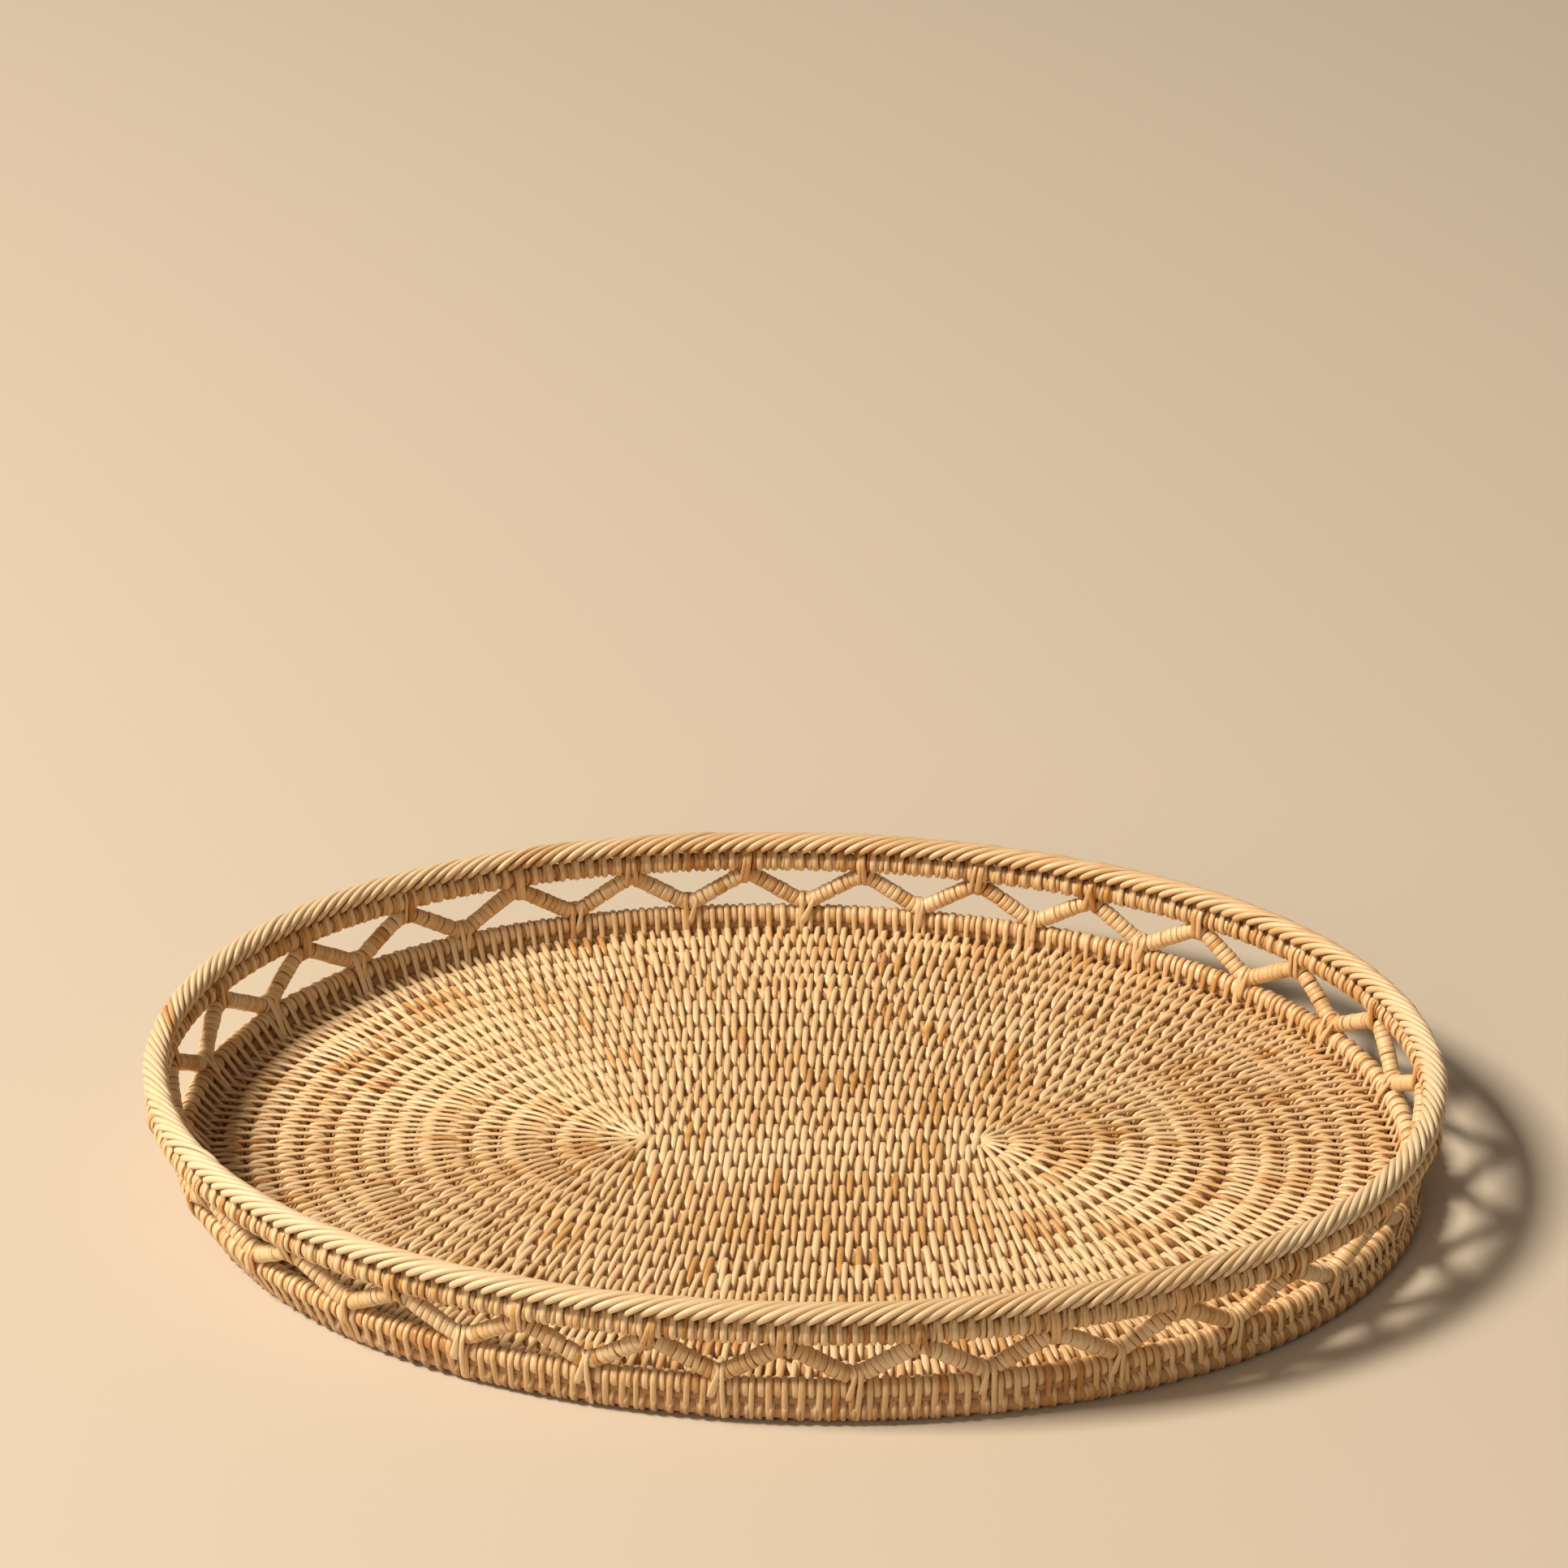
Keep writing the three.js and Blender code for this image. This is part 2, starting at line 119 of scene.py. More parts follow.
def directions(path, closed):
    """Directions along one path of points, or along many."""
    if closed:
        return unit(np.roll(path, -1, -2) - np.roll(path, 1, -2))
    return unit(np.gradient(path, axis=-2))


def running_length(path):
    """The length from a path's first point to each of its points."""
    steps = np.linalg.norm(np.diff(path, axis=-2), axis=-1)
    return np.concatenate([np.zeros_like(steps[..., :1]), np.cumsum(steps, -1)], -1)


def across_row(centre, out, rise, along, n, z, ahead):
    """Points of loops: from each centre n outwards, z up the rise and ahead along the row."""
    return (centre[:, None] + out[:, None] * n[..., None] + rise[:, None] * z[..., None]
            + along[:, None] * ahead[..., None])


def focus_share(cosine, softness):
    return cosine * np.hypot(1, softness) / np.hypot(cosine, softness)


def oval(ring, angle):
    """Points of a ring of the wall at angles, in millimetres."""
    share = focus_share(np.cos(angle), SOFTNESS)
    x = ring["x"] + (ring["a"] - ring["b"]) * share + ring["b"] * np.cos(angle)
    return np.stack([x, ring["y"] + ring["b"] * np.sin(angle), np.full_like(x, ring["z"])], -1)


def ring_of(node):
    """The centre line of a ring node, from its box."""
    low, high = (np.array(corner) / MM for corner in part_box(node))
    half = (high - low) / 2
    mid = (high + low) / 2
    return {"x": mid[0], "y": mid[1], "z": mid[2], "a": half[0] - half[2], "b": half[1] - half[2]}


EDGE = ring_of("edge_coil")
EDGE["z"] -= EDGE_DROP
HOOP = ring_of("top_hoop")
RIM = dict(HOOP, z=RIM_Z)


def spiral_point(turns):
    """The centre line of the two-centre spiral that the floor coil follows."""
    angle = TAU * (turns - 0.25)
    softness = np.maximum(SOFTNESS * turns / FLOOR_TURNS, 1e-4)
    share = focus_share(np.cos(angle), softness)
    on_top = np.sin(angle) > 0
    whole = np.floor(turns - 0.25 + np.where(on_top, 0, 0.5) + 1e-9)
    radius = ROW_PITCH * (whole + np.where(on_top, 0.75 - share / 4, (1 + share) / 4))
    x = FLOOR_X + FOCUS_OFFSET * share + radius * np.cos(angle)
    y = FLOOR_Y + ROW_PITCH * (1 + share) / 4 + radius * np.sin(angle)
    return np.stack([x, y, np.zeros_like(x)], -1)


def tail_room(turns):
    """The room between the last row and the edge, which the coil's thinned end fills."""
    past = np.clip((turns - FLOOR_TURNS) * 4, 0, 1)
    return ROW_PITCH * (1 - TAIL_NARROWING[0] * past - TAIL_NARROWING[1] * past ** 2)


def tail_half_width(turns):
    return np.minimum(CORE_HALF_WIDTH, tail_room(turns) / 2)


def floor_point(turns):
    """The centre line of the floor coil after a number of turns, with its thinned end."""
    turns = np.asarray(turns, float)
    plain = spiral_point(turns)
    inner = np.where(turns > FLOOR_TURNS, turns - 1, 1.0)
    row = spiral_point(inner)
    along = unit(spiral_point(inner + 1e-3) - spiral_point(inner - 1e-3))
    room = tail_room(turns)
    offset = np.where(room < 2 * CORE_HALF_WIDTH, CORE_HALF_WIDTH + room / 2, room)
    tail = row + np.cross(along, UP) * offset[..., None]
    return np.where((turns > FLOOR_TURNS)[..., None], tail, plain)


class Track:
    """A line of points with its running length, its direction and its outward side."""

    def __init__(self, points, closed):
        self.closed = closed
        self.points = np.concatenate([points, points[:1]]) if closed else points
        self.at = running_length(self.points)
        self.length = self.at[-1]

    def place(self, s):
        s = np.asarray(s, float)
        if self.closed:
            s = np.mod(s, self.length)
        return np.stack([np.interp(s, self.at, self.points[:, k]) for k in range(3)], -1)

    def frame(self, s, reach=1.5):
        """Place, direction along and level direction outwards, at running lengths."""
        s = np.asarray(s, float)
        if self.closed:
            ahead, behind = self.place(s + reach), self.place(s - reach)
        else:
            ahead = self.place(np.minimum(s + reach, self.length))
            behind = self.place(np.maximum(s - reach, 0))
        along = unit(ahead - behind)
        out = unit(np.cross(along, UP))
        return self.place(s), along, out


def ring_track(ring, count=2880):
    angle = TAU * np.arange(count) / count - math.pi / 2
    return Track(oval(ring, angle), True)


def ring_line(ring, count=480):
    """Points of a ring with their level outward directions, for a cane that runs along it."""
    points = oval(ring, TAU * np.arange(count) / count)
    return points, unit(np.cross(directions(points, True), UP))


# ---- meshes -------------------------------------------------------------------------------------
GRAIN_SPREAD = 400    # each strip starts somewhere else along the grain, so no two look alike
GRAIN_RADIUS = 3      # turns the angle round a bare cane into a distance across the grain


def per_point(value, strips, points):
    """A number, or one per strip, or one per point, as one per point."""
    value = np.asarray(value, float)
    if value.ndim == 1:
        value = value[:, None]
    return np.broadcast_to(value, (strips, points))


class Bands:
    """Collects many strips of one piece into one mesh, with what the material needs to know."""

    def __init__(self):
        self.verts, self.quads, self.caps = [], [], []
        self.tone, self.run, self.side, self.painted_shade = [], [], [], []
        self.count = 0

    def add(self, path, up, width, thick, section, tone, closed, painted_shade=0.0):
        """path and up are (strips, points, 3); the rest are numbers, or one per strip or point."""
        strips, points = path.shape[:2]
        count = len(section)
        along = directions(path, closed)
        side = unit(np.cross(along, up))
        up = unit(np.cross(side, along))
        width = per_point(width, strips, points)[..., None]
        thick = per_point(thick, strips, points)[..., None]
        sideways = section[:, 0] * width / 2
        upwards = section[:, 1] * thick
        verts = (path[:, :, None] + side[:, :, None] * sideways[..., None]
                 + up[:, :, None] * upwards[..., None])
        index = self.count + np.arange(strips * points * count).reshape(strips, points, count)
        last = points if closed else points - 1
        here = index[:, :last]
        there = np.roll(index, -1, 1)[:, :last]
        quads = np.stack([here, np.roll(here, -1, 2), np.roll(there, -1, 2), there], -1)
        self.quads.append(quads.reshape(-1, 4))
        if not closed:
            self.caps.append(index[:, 0].reshape(strips, count)[:, ::-1])
            self.caps.append(index[:, -1].reshape(strips, count))
        run = running_length(path) + RNG.random((strips, 1)) * GRAIN_SPREAD
        shape = (strips, points, count)
        self.verts.append(verts.reshape(-1, 3))
        self.tone.append(np.broadcast_to(np.asarray(tone, float).reshape(-1, 1, 1), shape).ravel())
        self.run.append(np.broadcast_to(run[..., None], shape).ravel())
        self.side.append(sideways.ravel())
        self.painted_shade.append(np.broadcast_to(per_point(painted_shade, strips, points)[..., None], shape).ravel())
        self.count += strips * points * count

    def rod(self, path, out, radii, sides, tone, closed):
        """A bare cane: path (points, 3), outward directions, half width and half height."""
        angle = TAU * np.arange(sides) / sides
        rise = unit(np.cross(out, directions(path, closed)))
        radii = np.broadcast_to(np.asarray(radii, float), (len(path), 2))
        sideways = np.cos(angle) * radii[:, :1]
        upwards = np.sin(angle) * radii[:, 1:]
        verts = (path[:, None] + out[:, None] * sideways[..., None]
                 + rise[:, None] * upwards[..., None])
        index = self.count + np.arange(len(path) * sides).reshape(len(path), sides)
        last = len(path) if closed else len(path) - 1
        here, there = index[:last], np.roll(index, -1, 0)[:last]
        quads = np.stack([here, there, np.roll(there, -1, 1), np.roll(here, -1, 1)], -1)
        self.quads.append(quads.reshape(-1, 4))
        if not closed:
            self.caps.append(index[:1])
            self.caps.append(index[-1:, ::-1])
        self.verts.append(verts.reshape(-1, 3))
        self.tone.append(np.full(verts.shape[:2], tone).ravel())
        self.run.append(np.repeat(running_length(path), sides))
        self.side.append(np.tile(angle * GRAIN_RADIUS, len(path)))
        self.painted_shade.append(np.zeros(len(path) * sides))
        self.count += len(path) * sides

    def build(self, name, material, nodes):
        verts = np.concatenate(self.verts) * MM
        quads = np.concatenate(self.quads)
        starts = np.arange(len(quads)) * 4
        loops = quads.ravel()
        for caps in self.caps:
            starts = np.concatenate([starts, len(loops) + np.arange(len(caps)) * caps.shape[1]])
            loops = np.concatenate([loops, caps.ravel()])
        mesh = bpy.data.meshes.new(name)
        mesh.vertices.add(len(verts))
        mesh.vertices.foreach_set("co", verts.ravel())
        mesh.loops.add(len(loops))
        mesh.loops.foreach_set("vertex_index", loops.astype(np.int32))
        mesh.polygons.add(len(starts))
        mesh.polygons.foreach_set("loop_start", starts.astype(np.int32))
        mesh.polygons.foreach_set("use_smooth", np.ones(len(starts), bool))
        for key in ("tone", "run", "side", "painted_shade"):
            values = np.concatenate(getattr(self, key))
            mesh.attributes.new(key, "FLOAT", "POINT").data.foreach_set("value", values)
        mesh.update(calc_edges=True)
        mesh.materials.append(material)
        piece = bpy.data.objects.new(name, mesh)
        bpy.context.scene.collection.objects.link(piece)
        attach(piece, "root")
        if nodes:
            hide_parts(*nodes)


def ring_cane(name, path, out, radii, material, nodes, sides=12, tone=0.4):
    """A bare cane that closes on itself, as a piece of its own."""
    cane = Bands()
    cane.rod(path, out, radii, sides, tone, True)
    cane.build(name, material, nodes)


# ---- materials ----------------------------------------------------------------------------------
FIBRE_TINT = (0.80, 0.66, 0.48, 1)
FLECK_TINT = (0.62, 0.40, 0.22, 1)
FIBRE_HEIGHT = 0.12 * MM
PALE = (0.84, 0.65, 0.42)
RIM_PALE = (0.83, 0.67, 0.46)
CREAM = (0.79, 0.575, 0.34)
RIM_CREAM = (0.79, 0.60, 0.385)
STRAW = (0.72, 0.475, 0.24)
HONEY = (0.60, 0.335, 0.115)
AMBER = (0.45, 0.19, 0.045)
# the dark brown of painted shade, which strips blend towards in gaps, hollows and tucked ends
PAINTED_SHADE_BROWN = (0.31, 0.135, 0.05)
STRIP_STOPS = ((0.0, PALE), (0.32, CREAM), (0.6, STRAW), (0.85, HONEY), (1.0, AMBER))
RIM_STOPS = ((0.0, RIM_PALE), (0.32, RIM_CREAM), (0.6, STRAW), (0.85, HONEY), (1.0, AMBER))
CORE_STOPS = ((0.0, (0.56, 0.35, 0.18)), (0.5, (0.48, 0.27, 0.12)), (1.0, (0.37, 0.18, 0.07)))
# a darker copy of the core colours: painted shade, for canes seen only in the shade between wraps and
# strands
SHADED_STOPS = ((0.0, (0.30, 0.15, 0.06)), (1.0, (0.20, 0.09, 0.035)))


def cane_material(name, stops, roughness, grain=1.0, gloss=0.12):
    """Split cane: tone picks the colour, fibres run along the strip, and painted shade makes it darker and
    browner in gaps and hollows.
    """
    material = bpy.data.materials.new(name)
    material.use_nodes = True
    nodes, links = material.node_tree.nodes, material.node_tree.links
    shader = nodes["Principled BSDF"]

    def attribute(key):
        node = nodes.new("ShaderNodeAttribute")
        node.attribute_name = key
        return node.outputs["Fac"]

    def math_node(operation, a, b):
        node = nodes.new("ShaderNodeMath")
        node.operation = operation
        for socket, value in zip(node.inputs, (a, b)):
            if isinstance(value, (int, float)):
                socket.default_value = value
            else:
                links.new(value, socket)
        return node.outputs[0]

    def mix(kind, factor, a, b):
        node = nodes.new("ShaderNodeMix")
        node.data_type = "RGBA"
        node.blend_type = kind
        for socket, value in ((node.inputs[0], factor), (node.inputs[6], a), (node.inputs[7], b)):
            if isinstance(value, (int, float, tuple)):
                socket.default_value = value
            else:
                links.new(value, socket)
        return node.outputs[2]

    def noise(vector, scale, detail):
        node = nodes.new("ShaderNodeTexNoise")
        node.inputs["Scale"].default_value = scale
        node.inputs["Detail"].default_value = detail
        links.new(vector, node.inputs["Vector"])
        return node.outputs["Fac"]

    def spread(value, low, high, to_low, to_high):
        node = nodes.new("ShaderNodeMapRange")
        for key, number in (("From Min", low), ("From Max", high), ("To Min", to_low), ("To Max", to_high)):
            node.inputs[key].default_value = number
        links.new(value, node.inputs["Value"])
        return node.outputs[0]

    run, side, tone, painted_shade = (attribute(key) for key in ("run", "side", "tone", "painted_shade"))

    def strip_space(along, across):
        node = nodes.new("ShaderNodeCombineXYZ")
        links.new(math_node("MULTIPLY", run, along), node.inputs[0])
        links.new(math_node("MULTIPLY", side, across), node.inputs[1])
        links.new(math_node("MULTIPLY", tone, 37.0), node.inputs[2])
        return node.outputs[0]

    fibres = noise(strip_space(0.12, 5.5), 1.0, 4.0)
    blotches = noise(strip_space(0.16, 0.5), 1.0, 3.0)
    flecks = noise(strip_space(0.9, 9.0), 1.0, 2.0)
    wander = math_node("ADD", tone, spread(blotches, 0.3, 0.7, -0.10, 0.12))
    ramp = nodes.new("ShaderNodeValToRGB")
    ramp.color_ramp.elements.remove(ramp.color_ramp.elements[1])
    for i, (position, colour) in enumerate(stops):
        element = ramp.color_ramp.elements[0] if i == 0 else ramp.color_ramp.elements.new(position)
        element.position = position
        element.color = (*colour, 1)
    links.new(wander, ramp.inputs[0])
    fibre_share = spread(fibres, 0.35, 0.7, 0.0, 0.5 * grain)
    fleck_share = spread(flecks, 0.62, 0.75, 0.0, 0.55 * grain)
    colour = mix("MULTIPLY", fibre_share, ramp.outputs[0], FIBRE_TINT)
    colour = mix("MULTIPLY", fleck_share, colour, FLECK_TINT)
    # painted shade: the colour blends towards the dark shade brown by how much shade is painted on this
    # spot
    colour = mix("MIX", painted_shade, colour, (*PAINTED_SHADE_BROWN, 1))
    links.new(colour, shader.inputs["Base Color"])
    links.new(spread(fibres, 0.3, 0.7, roughness - 0.07, roughness + 0.12), shader.inputs["Roughness"])
    bump = nodes.new("ShaderNodeBump")
    bump.inputs["Strength"].default_value = 0.35
    bump.inputs["Distance"].default_value = FIBRE_HEIGHT
    links.new(fibres, bump.inputs["Height"])
    links.new(bump.outputs[0], shader.inputs["Normal"])
    shader.inputs["Specular IOR Level"].default_value = 0.5
    shader.inputs["Coat Weight"].default_value = gloss
    shader.inputs["Coat Roughness"].default_value = 0.3
    shader.inputs["Sheen Weight"].default_value = 0.04
    return material


strip_material = cane_material("straw_strips", STRIP_STOPS, 0.42)
rim_material = cane_material("rim_strips", RIM_STOPS, 0.42)
honey_material = cane_material("honey_strips", STRIP_STOPS, 0.40)
core_material = cane_material("bare_core_cane", CORE_STOPS, 0.6, 1.4, 0.0)
shaded_core_material = cane_material("shaded_core_cane", SHADED_STOPS, 0.65, 1.4, 0.0)


def strip_tones(count, per_length=16, honey=0.09):
    """Tones of wraps in order: alike along one length of strip, with honey ones here and there."""
    lengths = RNG.integers(per_length // 2, per_length * 2, count)
    base = np.repeat(np.clip(RNG.normal(0.25, 0.17, len(lengths)), 0.0, 0.62), lengths)[:count]
    tone = base + RNG.normal(0, 0.07, count)
    start = 0
    while start < count:
        start += int(RNG.exponential(2.2 / honey)) + 1
        width = int(RNG.integers(1, 4))
        tone[start:start + width] = RNG.uniform(0.58, 0.88)
    return np.clip(tone, 0.0, 1.0)


# ---- floor --------------------------------------------------------------------------------------
last_mark = int((FLOOR_TURNS + TAIL_TURNS + 0.01) * MARKS_PER_TURN)
turn_marks = np.concatenate([[0.0], np.arange(1, last_mark) / MARKS_PER_TURN])
floor_points = floor_point(turn_marks)
floor_points[0] = (FLOOR_X - FOCUS_OFFSET, FLOOR_Y, 0)
floor_track = Track(floor_points, False)


def length_at(turns):
    return np.interp(turns, turn_marks, floor_track.at)


def turns_at(length):
    return np.interp(length, floor_track.at, turn_marks)


def row_gap(turns, out):
    """The distance from a row to the row inside it, square to the row."""
    here = floor_point(turns)
    inner = floor_point(np.maximum(turns - 1, 1e-3))
    gap = ((here - inner) * out).sum(-1)
    return np.where(turns < 1.02, ROW_PITCH, np.clip(gap, LEAST_ROW_GAP, MOST_ROW_GAP))


def evened(lengths, rounds):
    """Moves each stitch a little towards the middle of its neighbours, keeping both ends."""
    lengths = lengths.copy()
    for _ in range(rounds):
        lengths[1:-1] = lengths[1:-1] * 0.5 + (lengths[:-2] + lengths[2:]) * 0.25
    return lengths


def nearest_turns(point, guess, reach=0.03):
    """The turns at which the coil passes closest to a point, near a guess."""
    near = guess + reach * np.linspace(-1, 1, 121)
    return near[np.argmin(((floor_point(near) - point) ** 2).sum(1))]


def filled(row):
    """Adds stitches in the widest gaps of a row until they stand a pitch apart."""
    for _ in range(60):
        gaps = np.diff(row)
        widest = int(np.argmax(gaps))
        if (row[-1] - row[0]) / len(gaps) < STITCH_PITCH and gaps[widest] < 1.7 * STITCH_PITCH:
            break
        row = np.insert(row, widest + 1, row[widest] + gaps[widest] / 2)
    return row


def stitch_places():
    """Running lengths of the long stitches: each between two of the row inside, with more on the bends."""
    last = length_at(FLOOR_TURNS + TAIL_TURNS)
    places = list(np.arange(length_at(FIRST_STITCH), length_at(FIRST_STITCH + 1), STITCH_PITCH))
    first = 0
    while places[-1] < last:
        turns = turns_at(np.array(places))
        end = np.searchsorted(turns, turns[first] + 1.0)
        between = (turns[first:end][1:] + turns[first:end][:-1]) / 2
        row = [places[-1]]
        for turn in between:
            found = float(length_at(nearest_turns(floor_point(turn), turn + 1)))
            if found > row[-1] + 0.5 * STITCH_PITCH:
                row.append(found)
        row = evened(filled(np.array(row)), 5)
        first = max(end - 1, first + 1)
        places.extend(row[1:])
    places = np.array(places)
    places = places[places < last]
    return places, turns_at(places)


def loop_up(n, z, out):
    """The outward normal of loops drawn in the upright plane across a row."""
    dn = np.roll(n, -1, 1) - np.roll(n, 1, 1)
    dz = np.roll(z, -1, 1) - np.roll(z, 1, 1)
    size = np.maximum(np.hypot(dn, dz), 1e-9)
    normal_n, normal_z = dz / size, -dn / size
    from_middle_n = n - n.mean(1, keepdims=True)
    from_middle_z = z - z.mean(1, keepdims=True)
    flip = np.sign((from_middle_n * normal_n + from_middle_z * normal_z).sum(1))
    return (out[:, None] * normal_n[..., None] + UP * normal_z[..., None]) * flip[:, None, None]


def long_loops(places, turns):
    """Long stitches as closed loops round their own row and the row inside it."""
    count = len(places)
    lengths = places + RNG.normal(0, 0.13, count)
    centre, along, out = floor_track.frame(lengths)
    gap = row_gap(turns, out)[:, None]
    outer_half = tail_half_width(turns)[:, None]
    lift = 0.3 + RNG.normal(0, 0.08, count)[:, None]
    arc = np.linspace(0, math.pi, 7)
    inner_n = -gap - CORE_HALF_WIDTH * np.sin(arc)[None]
    inner_z = CORE_Z - (CORE_HALF_HEIGHT + np.where(arc > math.pi / 2, lift, 0.0)) * np.cos(arc)[None]
    part = np.array([0.25, 0.5, 0.75])[None]
    arch = 4 * part * (1 - part) * (0.22 + RNG.normal(0, 0.08, (count, 1)))
    top_n = -gap * (1 - part)
    top_z = CORE_Z + CORE_HALF_HEIGHT + lift * (1 - part) + arch
    outer_n = outer_half * np.sin(arc)[None]
    outer_z = np.broadcast_to(CORE_Z + CORE_HALF_HEIGHT * np.cos(arc), outer_n.shape)
    low_n = -gap * 0.5
    low_z = np.full((count, 1), CORE_Z - CORE_HALF_HEIGHT + 0.2)
    n = np.concatenate([inner_n, top_n, outer_n, low_n], 1)
    z = np.concatenate([inner_z, top_z, outer_z, low_z], 1)
    slant = RNG.normal(-0.25, 0.25, (count, 1))
    ahead = slant * np.clip((n + gap / 2) / (gap / 2 + CORE_HALF_WIDTH), -1, 1)
    path = across_row(centre, out, UP[None], along, n, z, ahead)
    above = 0.72 + 0.28 * np.clip((z - CORE_Z) / 3.0, 0, 1)
    at_ends = np.abs(out[:, :1]) ** 3
    width = STRIP_WIDTH + (END_STRIP_WIDTH - STRIP_WIDTH) * at_ends
    # the loops carry painted shade where they run down between the rows
    return path, loop_up(n, z, out), painted_gap_shade(z, 0.8), above * width * RNG.normal(1, 0.08, (count, 1))


def short_loops(track, lengths, half, centre_z, tilt, sides=12):
    """Wraps round one row alone, leaning along the row by the tilt."""
    centre, along, out = track.frame(lengths)
    angle = TAU * np.arange(sides) / sides
    n = np.broadcast_to(half[0] * np.cos(angle), (len(lengths), sides))
    z = np.broadcast_to(centre_z + half[1] * np.sin(angle), (len(lengths), sides))
    ahead = tilt[:, None] * np.cos(angle)[None]
    return across_row(centre * LEVEL, out, UP[None], along, n, z, ahead), loop_up(n, z, out)


def painted_gap_shade(z, most):
    """Painted shade on a strip: none on its upper side, growing darker and browner down into the gaps
    between the rows.
    """
    return np.clip((CORE_Z + 2.0 - z) / 2.6, 0, 1) * most


def build_floor():
    places, turns = stitch_places()
    tones = strip_tones(len(places))
    path, up, painted_shade, widths = long_loops(places, turns)
    middles = (places[1:] + places[:-1]) / 2
    curl = np.arange(CURL_START, length_at(FIRST_STITCH), CURL_PITCH)
    wraps = np.concatenate([curl, middles])
    wrap_turns = turns_at(wraps)
    tilt = RNG.normal(1.9, 0.35, len(wraps))
    tilt[:len(curl)] = 0.6
    half = (tail_half_width(wrap_turns)[:, None], CORE_HALF_HEIGHT)
    short_path, short_up = short_loops(floor_track, wraps, half, CORE_Z, tilt)
    # painted shade on the short wraps, down in the gaps between the rows
    short_painted_shade = painted_gap_shade(short_path[..., 2], 0.7)
    short_tones = np.clip(strip_tones(len(wraps)) + 0.1, 0, 1)
    for i, (start, end) in enumerate(zip(CANE_ENDS, CANE_ENDS[1:]), 1):
        here = (turns >= start) & (turns < end)
        thick = STRIP_THICK * RNG.normal(1, 0.08, here.sum())
        bands = Bands()
        bands.add(path[here], up[here], widths[here], thick, HALF_ROUND, tones[here], True, painted_shade[here])
        bands.build(f"floor_stitches_{i}", strip_material, [f"floor_coil_{i}"])
        here = (wrap_turns >= start) & (wrap_turns < end)
        width = FLOOR_WRAP[0] * RNG.normal(1, 0.1, here.sum())
        bands = Bands()
        bands.add(short_path[here], short_up[here], width, FLOOR_WRAP[1],
                  FLAT_STRIP, short_tones[here], True, short_painted_shade[here])
        bands.build(f"floor_wraps_{i}", strip_material, [])
    core = Bands()
    step = 2.6
    lengths = np.arange(0, floor_track.length, step)
    centre, _, out = floor_track.frame(lengths)
    half = tail_half_width(turns_at(lengths)) - 0.06
    height = np.minimum(CORE_HALF_HEIGHT - 0.06, half + 1.5)
    core.rod(centre + UP * CORE_Z, out, np.stack([half, height], 1), 12, 0.4, False)
    core.build("floor_core_cane", core_material, [])


# ---- wall ---------------------------------------------------------------------------------------
def even_angles(count, steps=3600):
    """Angles of the wall's foot after equal lengths of the wall, from a valley on the near side."""
    angle = TAU * np.arange(steps + 1) / steps - math.pi / 2
    middle = (oval(EDGE, angle) + oval(HOOP, angle)) / 2
    at = running_length(middle)
    quarter = steps // 4
    anchor = at[:quarter][middle[:quarter, 0] < VALLEY_X][-1]
    wanted = np.mod(anchor + at[-1] * np.arange(count) / count, at[-1])
    return np.unwrap(np.interp(wanted, at, angle), period=TAU)


wall_angles = even_angles(PERIODS * WALL_STEPS)


def wall_at(periods):
    """Foot, head, direction along, up the wall and outwards, and the wall's height."""
    index = np.mod(np.asarray(periods, float) * WALL_STEPS, len(wall_angles))
    wrapped = np.concatenate([wall_angles, [wall_angles[0] + TAU]])
    angle = np.interp(index, np.arange(len(wrapped)), wrapped)
    foot = oval(EDGE, angle)
    along = unit(oval(EDGE, angle + 1e-3) - oval(EDGE, angle - 1e-3))
    head_angle = angle.copy()
    head = oval(HOOP, head_angle)
    for _ in range(8):
        head_angle = head_angle - ((head - foot) * along).sum(-1) / np.hypot(head[..., 0], head[..., 1])
        head = oval(HOOP, head_angle)
    height = np.linalg.norm(head - foot, axis=-1)
    rise = unit(head - foot)
    return foot, head, along, rise, unit(np.cross(along, rise)), height


def zigzag_share(periods):
    """How far up its height the zigzag is: nearly straight struts with rounded bends."""
    sharp = 0.975
    return 0.5 - 0.5 * np.arcsin(sharp * np.cos(TAU * periods)) / math.asin(sharp)


def zigzag_place(periods):
    foot, head, along, rise, out, height = wall_at(periods)
    up = ZIG_LOW + (height - ZIG_LOW - ZIG_HIGH) * zigzag_share(periods)
    return foot + rise * up[..., None], out, foot, head, along, rise


def middle_and_half(values):
    """The middle and the half height of each loop's values."""
    high, low = values.max(1, keepdims=True), values.min(1, keepdims=True)
    return (high + low) / 2, (high - low) / 2


def circles_of(*circles):
    """Circles of bands as (strips, circles, (n, z, radius)); each value is a number or one per strip."""
    count = max(np.size(value) for circle in circles for value in circle)
    spread = [[np.broadcast_to(value, (count,)) for value in circle] for circle in circles]
    return np.stack([np.stack(circle, 1) for circle in spread], 1)


def hull_points(circles, count):
    """Points and normals of a band pulled tight round circles (strips, circles, (n, z, radius))."""
    angle = TAU * np.arange(count) / count
    c, s = np.cos(angle), np.sin(angle)
    reach = circles[..., 0, None] * c + circles[..., 1, None] * s + circles[..., 2, None]
    best = reach.argmax(1)
    picked = np.take_along_axis(circles, best[..., None], 1)
    n = picked[..., 0] + picked[..., 2] * c
    z = picked[..., 1] + picked[..., 2] * s
    return n, z, np.broadcast_to(c, n.shape), np.broadcast_to(s, n.shape)


